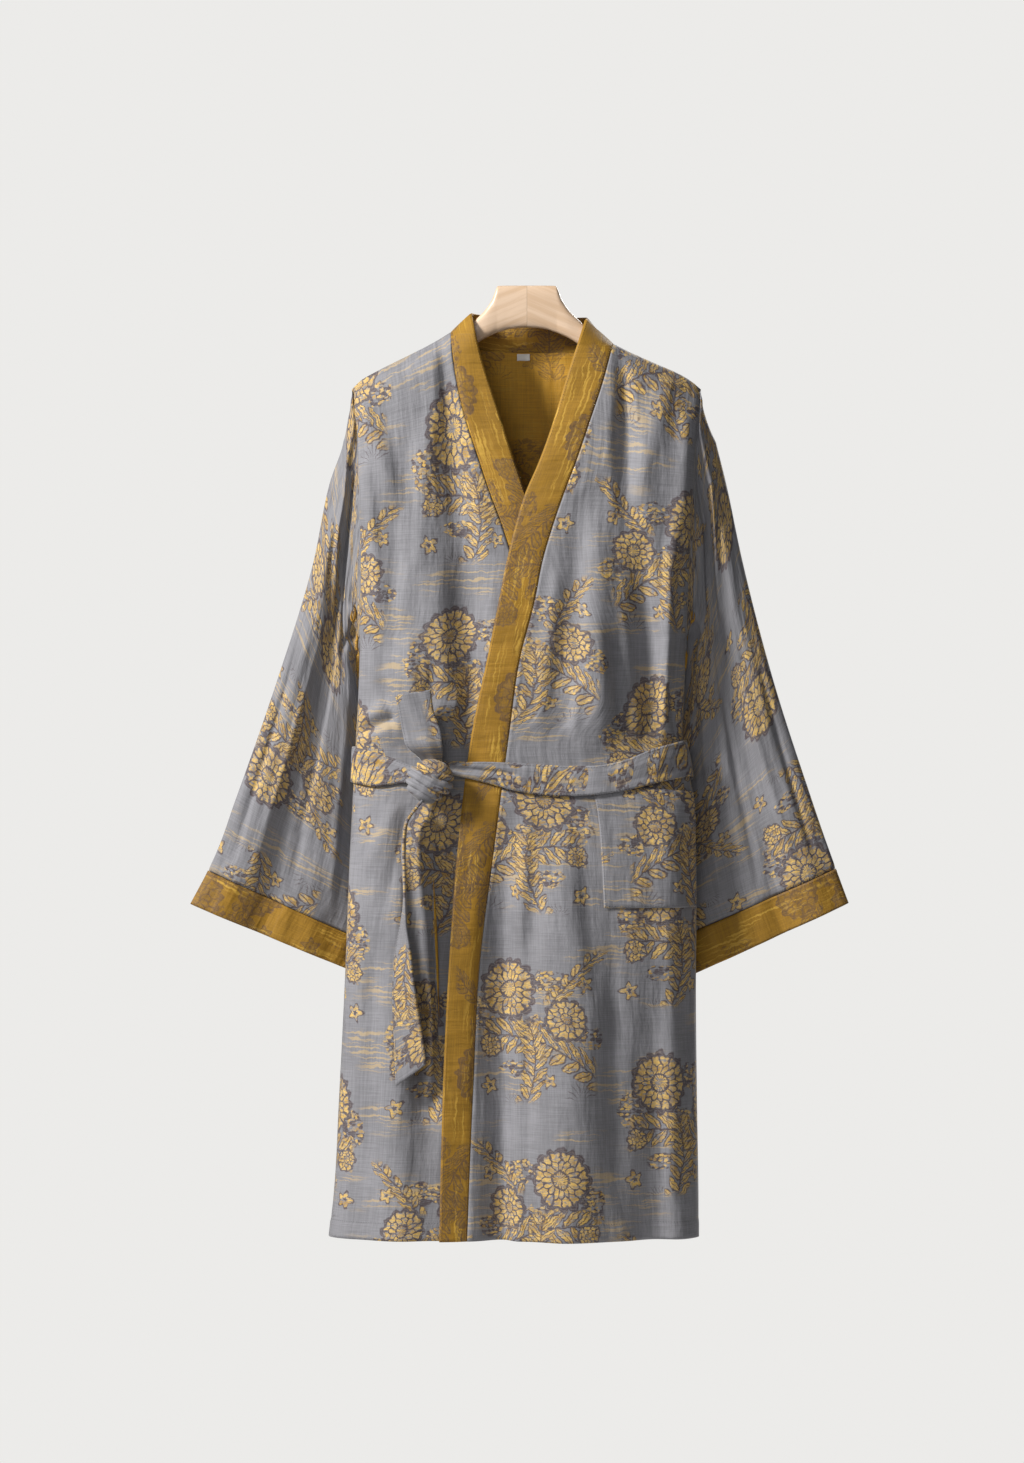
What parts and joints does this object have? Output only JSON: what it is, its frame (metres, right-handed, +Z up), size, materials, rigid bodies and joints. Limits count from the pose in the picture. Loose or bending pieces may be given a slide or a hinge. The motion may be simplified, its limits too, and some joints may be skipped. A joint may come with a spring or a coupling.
{
  "type": "kimono robe on hanger",
  "caption": "Wrap-front kimono robe in light gauze with wide sleeves, contrast neckband and cuffs, a patch pocket and a tied belt, hung on a wooden hanger.",
  "frame": {"origin": "middle of the hanger's flat top, where it is held", "axes": "+Z up, -Y out of the front of the robe, +X to the wearer's left"},
  "size_m": [0.7625, 0.1532, 1.0984],
  "materials": {
    "grey_gauze": "soft jacquard double gauze, slate grey with gold and brown figures, light sheen",
    "ochre_reverse": "the reverse of the same cloth, ochre, light sheen",
    "white_tape": "plain woven tape, blank",
    "pale_wood": "clear satin lacquer on pale wood"
  },
  "bodies": {
    "root": {"back": "grey_gauze", "front_right": "grey_gauze", "front_left": "grey_gauze", "sleeve_right": "grey_gauze", "sleeve_left": "grey_gauze", "pocket": "grey_gauze", "belt_waist": "grey_gauze", "belt_knot": "grey_gauze", "belt_end_up": "grey_gauze", "belt_end_down": "grey_gauze", "cuff_right": "ochre_reverse", "cuff_left": "ochre_reverse", "neckband": "ochre_reverse", "neck_label": "white_tape", "hanger": "pale_wood"}
  },
  "joints": []
}
